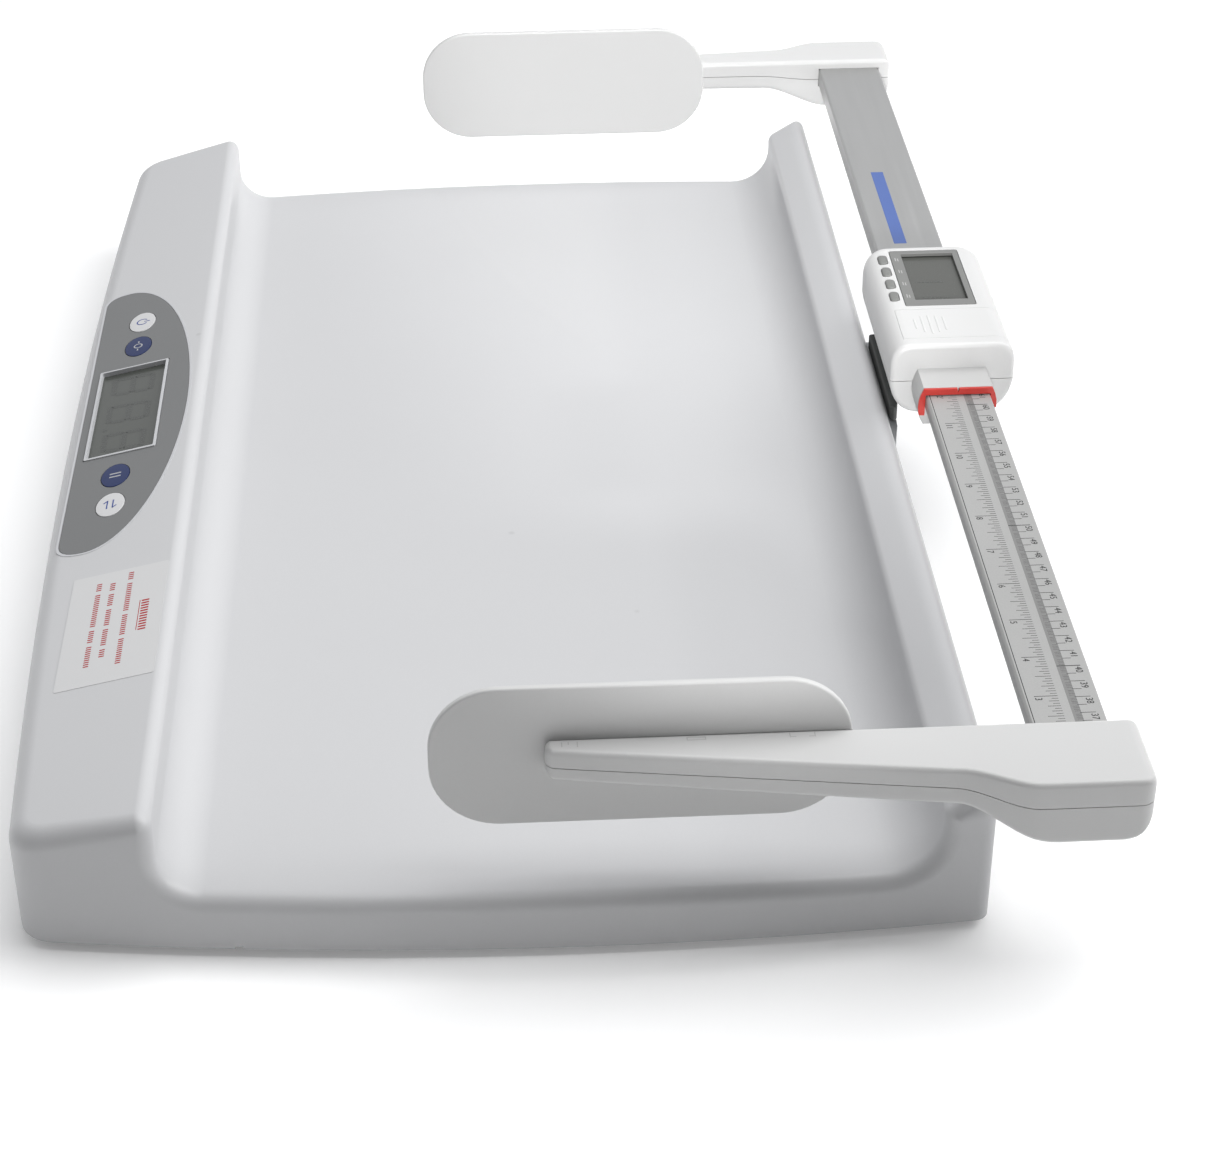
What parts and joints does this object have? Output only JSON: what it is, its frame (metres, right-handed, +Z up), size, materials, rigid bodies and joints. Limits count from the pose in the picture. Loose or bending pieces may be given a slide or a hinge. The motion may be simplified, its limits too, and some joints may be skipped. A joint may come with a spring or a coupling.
{
  "type": "infant weighing scale with length rod",
  "caption": "Low tray scale for infants: sloped keypad console, open-ended bed, and an electronic sliding length rod with head and foot paddles along the back.",
  "frame": {"origin": "middle of the footprint, on the table, bottom of the feet", "axes": "+X along the tray towards the sliding foot paddle, -Y towards the user and the console, +Z up"},
  "size_m": [0.683, 0.426, 0.1128],
  "materials": {
    "tray_white": "fine satin",
    "rod_white": "satin",
    "keypad_grey": "fine matt film",
    "key_white": "satin film",
    "key_blue": "satin film",
    "lcd": "semi-gloss",
    "frame_white": "satin",
    "aluminium": "brushed, clear anodised",
    "bezel_grey": "satin",
    "button_grey": "matt",
    "index_red": "satin",
    "rubber": "matt",
    "steel": "satin paint",
    "board": "solder mask",
    "cell": "printed sleeve",
    "dark_plastic": "matt"
  },
  "bodies": {
    "base": {"base_pan": "steel", "stop_post_1": "steel", "stop_post_2": "steel", "stop_post_3": "steel", "stop_post_4": "steel", "load_cell": "aluminium", "load_cell_foot": "steel"},
    "tray": {"tray_shell": "tray_white", "keypad_overlay": "keypad_grey", "lcd_frame": "frame_white", "main_lcd": "lcd", "main_board": "board", "dc_inlet": "dark_plastic", "battery_box": "dark_plastic", "battery_cell_1": "cell", "battery_cell_2": "cell", "battery_cell_3": "cell", "battery_cell_4": "cell", "load_cell_cap": "steel", "load_spider": "steel", "outer_rail": "aluminium", "head_arm_upper": "rod_white", "head_arm_lower": "rod_white", "head_paddle": "rod_white", "display_upper": "rod_white", "display_lower": "rod_white", "display_bezel": "bezel_grey", "display_lcd": "lcd", "display_board": "board", "coin_holder": "dark_plastic", "coin_cell": "steel", "encoder_fork": "dark_plastic", "index_pointer": "index_red", "rod_bracket": "steel", "bracket_pad": "rubber", "bracket_screw_1": "steel", "bracket_screw_2": "steel"},
    "foot_slide": {"ruler": "aluminium", "ruler_glide": "dark_plastic", "foot_arm_upper": "rod_white", "foot_arm_lower": "rod_white", "foot_paddle": "rod_white"},
    "encoder": {"encoder_wheel": "rubber"},
    "battery_door": {"battery_door": "dark_plastic"},
    "display_door": {"display_battery_door": "rod_white"},
    "key_power": {"key_power": "key_white"},
    "key_zero": {"key_zero": "key_blue"},
    "key_hold": {"key_hold": "key_blue"},
    "key_units": {"key_units": "key_white"},
    "display_button_1": {"display_button_1": "button_grey"},
    "display_button_2": {"display_button_2": "button_grey"},
    "display_button_3": {"display_button_3": "button_grey"},
    "display_button_4": {"display_button_4": "button_grey"},
    "foot_1": {"levelling_foot_1": "rubber"},
    "foot_2": {"levelling_foot_2": "rubber"},
    "foot_3": {"levelling_foot_3": "rubber"},
    "foot_4": {"levelling_foot_4": "rubber"}
  },
  "joints": [
    {"name": "weighing_travel", "type": "slide", "parent": "base", "child": "tray", "axis": [0, 0, 1], "range_m": [-0.00025, 0], "stiffness_N_per_m": 400000, "springref_m": 0.00008},
    {"name": "rod_slide", "type": "slide", "parent": "tray", "child": "foot_slide", "axis": [1, 0, 0], "range_m": [-0.25, 0.08]},
    {"name": "encoder_spin", "type": "hinge", "parent": "tray", "child": "encoder", "pos_m": [0.0165, 0.1847, 0.0864], "axis": [0, 1, 0], "continuous": true},
    {"name": "battery_door_slide", "type": "slide", "parent": "tray", "child": "battery_door", "axis": [1, 0, 0], "range_m": [0, 0.025]},
    {"name": "display_door_slide", "type": "slide", "parent": "tray", "child": "display_door", "axis": [0, 1, 0], "range_m": [0, 0.03]},
    {"name": "key_power_press", "type": "slide", "parent": "tray", "child": "key_power", "axis": [0, -0.2149, 0.9766], "range_m": [-0.0004, 0], "stiffness_N_per_m": 2500},
    {"name": "key_zero_press", "type": "slide", "parent": "tray", "child": "key_zero", "axis": [0, -0.2149, 0.9766], "range_m": [-0.0004, 0], "stiffness_N_per_m": 2500},
    {"name": "key_hold_press", "type": "slide", "parent": "tray", "child": "key_hold", "axis": [0, -0.2149, 0.9766], "range_m": [-0.0004, 0], "stiffness_N_per_m": 2500},
    {"name": "key_units_press", "type": "slide", "parent": "tray", "child": "key_units", "axis": [0, -0.2149, 0.9766], "range_m": [-0.0004, 0], "stiffness_N_per_m": 2500},
    {"name": "display_button_1_press", "type": "slide", "parent": "tray", "child": "display_button_1", "axis": [0, 0, 1], "range_m": [-0.0008, 0], "stiffness_N_per_m": 1500},
    {"name": "display_button_2_press", "type": "slide", "parent": "tray", "child": "display_button_2", "axis": [0, 0, 1], "range_m": [-0.0008, 0], "stiffness_N_per_m": 1500},
    {"name": "display_button_3_press", "type": "slide", "parent": "tray", "child": "display_button_3", "axis": [0, 0, 1], "range_m": [-0.0008, 0], "stiffness_N_per_m": 1500},
    {"name": "display_button_4_press", "type": "slide", "parent": "tray", "child": "display_button_4", "axis": [0, 0, 1], "range_m": [-0.0008, 0], "stiffness_N_per_m": 1500},
    {"name": "foot_1_turn", "type": "hinge", "parent": "base", "child": "foot_1", "pos_m": [-0.2205, -0.1275, 0], "axis": [0, 0, 1], "range_deg": [-360, 360]},
    {"name": "foot_2_turn", "type": "hinge", "parent": "base", "child": "foot_2", "pos_m": [0.2295, -0.1275, 0], "axis": [0, 0, 1], "range_deg": [-360, 360]},
    {"name": "foot_3_turn", "type": "hinge", "parent": "base", "child": "foot_3", "pos_m": [-0.2205, 0.1075, 0], "axis": [0, 0, 1], "range_deg": [-360, 360]},
    {"name": "foot_4_turn", "type": "hinge", "parent": "base", "child": "foot_4", "pos_m": [0.2295, 0.1075, 0], "axis": [0, 0, 1], "range_deg": [-360, 360]}
  ],
  "couplings": [
    {"joint": "encoder_spin", "follows": "rod_slide", "rad_per_m": -416.67}
  ]
}
